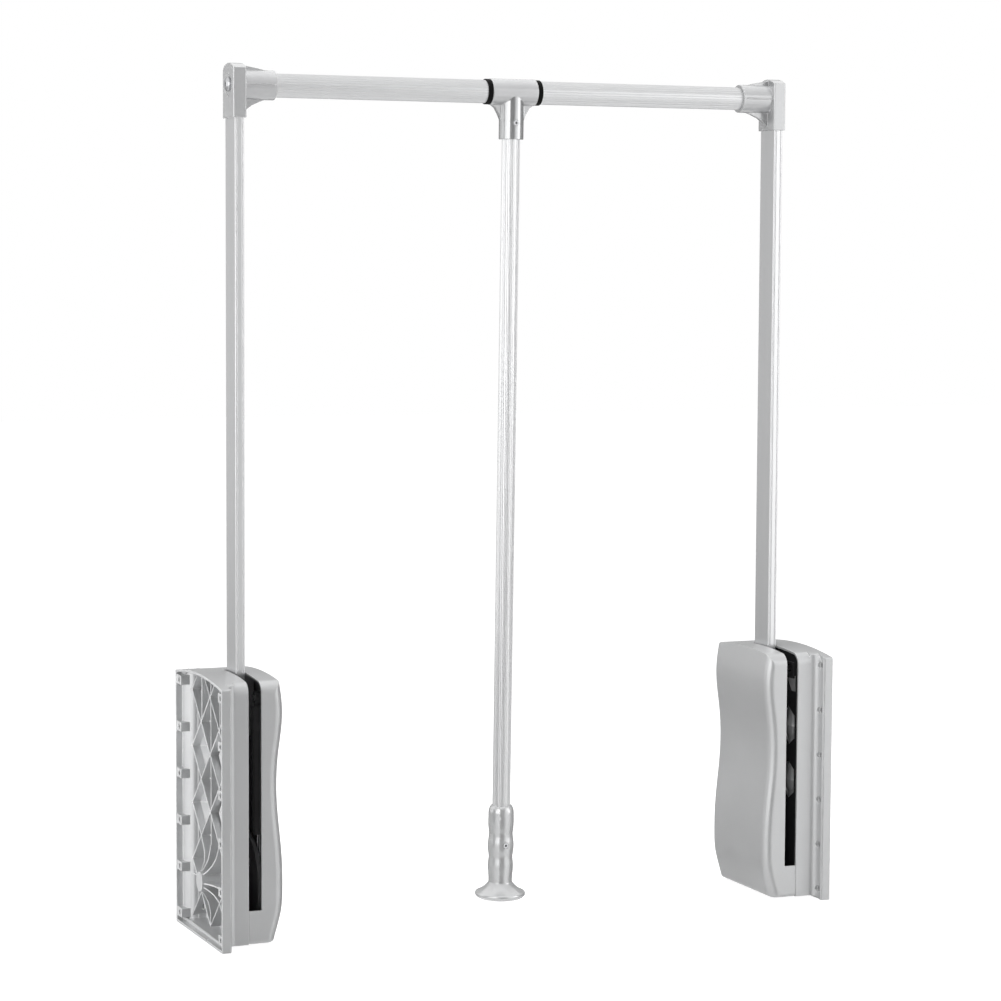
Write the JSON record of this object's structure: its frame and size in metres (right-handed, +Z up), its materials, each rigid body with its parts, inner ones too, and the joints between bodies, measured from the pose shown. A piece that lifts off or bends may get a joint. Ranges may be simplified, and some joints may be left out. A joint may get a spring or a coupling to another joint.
{
  "type": "pull down closet rod",
  "caption": "Wardrobe lift: housings on facing side walls hold swinging arms that carry a telescoping hanging bar, drawn forward and down by a pull rod with a flared grip.",
  "frame": {"origin": "middle of the width and of the depth, level with the lower edges of the two housings", "axes": "+X from the left housing to the right one along the bar, +Y into the closet, +Z up"},
  "size_m": [0.67, 0.156, 0.8628],
  "materials": {
    "housing_plastic": "silver grey paint, satin",
    "cover_plastic": "silver grey paint, satin",
    "grip_plastic": "silver grey paint, satin",
    "black_plastic": "moulded, fine texture",
    "bearing_plastic": "natural acetal",
    "arm_aluminium": "satin anodised",
    "bar_aluminium": "satin anodised, fluted",
    "cast_metal": "silver lacquer on a zinc casting",
    "steel": "zinc plated",
    "polished_steel": "hard chromed",
    "black_enamel": "black enamel",
    "buffer_rubber": "moulded"
  },
  "bodies": {
    "left_housing": {"left_mount_shell": "housing_plastic", "left_guide_plate": "black_plastic", "left_inner_cover": "cover_plastic", "left_cover_screws": "steel", "left_plate_screws": "steel", "left_pivot_axle": "steel", "left_thrust_washer": "black_plastic", "left_spring_cylinder": "black_enamel", "left_anchor_pin": "steel", "left_arm_buffer": "buffer_rubber"},
    "right_housing": {"right_mount_shell": "housing_plastic", "right_guide_plate": "black_plastic", "right_inner_cover": "cover_plastic", "right_cover_screws": "steel", "right_plate_screws": "steel", "right_pivot_axle": "steel", "right_thrust_washer": "black_plastic", "right_spring_cylinder": "black_enamel", "right_anchor_pin": "steel", "right_arm_buffer": "buffer_rubber"},
    "left_arm": {"left_pivot_bush": "bearing_plastic", "left_hub_disc": "black_plastic", "left_hub_rivets": "steel", "left_crank_pin": "steel", "left_arm_tube": "arm_aluminium", "left_corner_connector": "cast_metal", "left_connector_screw": "steel", "left_bar_plug": "black_plastic", "left_bar_tube": "bar_aluminium", "left_end_ring": "black_plastic"},
    "right_arm": {"right_pivot_bush": "bearing_plastic", "right_hub_disc": "black_plastic", "right_hub_rivets": "steel", "right_crank_pin": "steel", "right_arm_tube": "arm_aluminium", "right_corner_connector": "cast_metal", "right_connector_screw": "steel", "right_bar_plug": "black_plastic", "right_bar_tube": "bar_aluminium", "right_end_ring": "black_plastic"},
    "left_spring": {"left_rod_yoke": "steel", "left_spring_rod": "polished_steel"},
    "right_spring": {"right_rod_yoke": "steel", "right_spring_rod": "polished_steel"},
    "bar_centre": {"centre_tube": "polished_steel", "snap_rings": "steel"},
    "pull_handle": {"tee_piece": "cast_metal", "tee_screw": "steel", "pull_rod": "bar_aluminium", "grip": "grip_plastic", "grip_screw": "steel"}
  },
  "joints": [
    {"name": "width_adjust", "type": "slide", "parent": "left_housing", "child": "right_housing", "axis": [1, 0, 0], "range_m": [0, 0.2]},
    {"name": "left_arm_swing", "type": "hinge", "parent": "left_housing", "child": "left_arm", "pos_m": [-0.29585, 0, 0.056], "axis": [1, 0, 0], "range_deg": [0, 93], "stiffness_Nm_per_rad": 3, "springref_deg": -85.94},
    {"name": "right_arm_swing", "type": "hinge", "parent": "right_housing", "child": "right_arm", "pos_m": [0.29585, 0, 0.056], "axis": [1, 0, 0], "range_deg": [0, 93], "stiffness_Nm_per_rad": 3, "springref_deg": -85.94},
    {"name": "left_spring_slide", "type": "slide", "parent": "left_housing", "child": "left_spring", "axis": [0, 0, 1], "range_m": [-0.042, 0]},
    {"name": "right_spring_slide", "type": "slide", "parent": "right_housing", "child": "right_spring", "axis": [0, 0, 1], "range_m": [-0.042, 0]},
    {"name": "centre_slide", "type": "slide", "parent": "left_arm", "child": "bar_centre", "axis": [1, 0, 0], "range_m": [0, 0.1]},
    {"name": "pull_rod_swing", "type": "hinge", "parent": "bar_centre", "child": "pull_handle", "pos_m": [-0.002, 0, 0.842], "axis": [1, 0, 0], "range_deg": [-110, 35]}
  ],
  "couplings": [
    {"joint": "right_arm_swing", "follows": "left_arm_swing", "ratio": 1},
    {"joint": "left_spring_slide", "follows": "left_arm_swing", "m_per_rad": -0.02503},
    {"joint": "right_spring_slide", "follows": "left_arm_swing", "m_per_rad": -0.02503},
    {"joint": "centre_slide", "follows": "width_adjust", "ratio": 0.5}
  ]
}
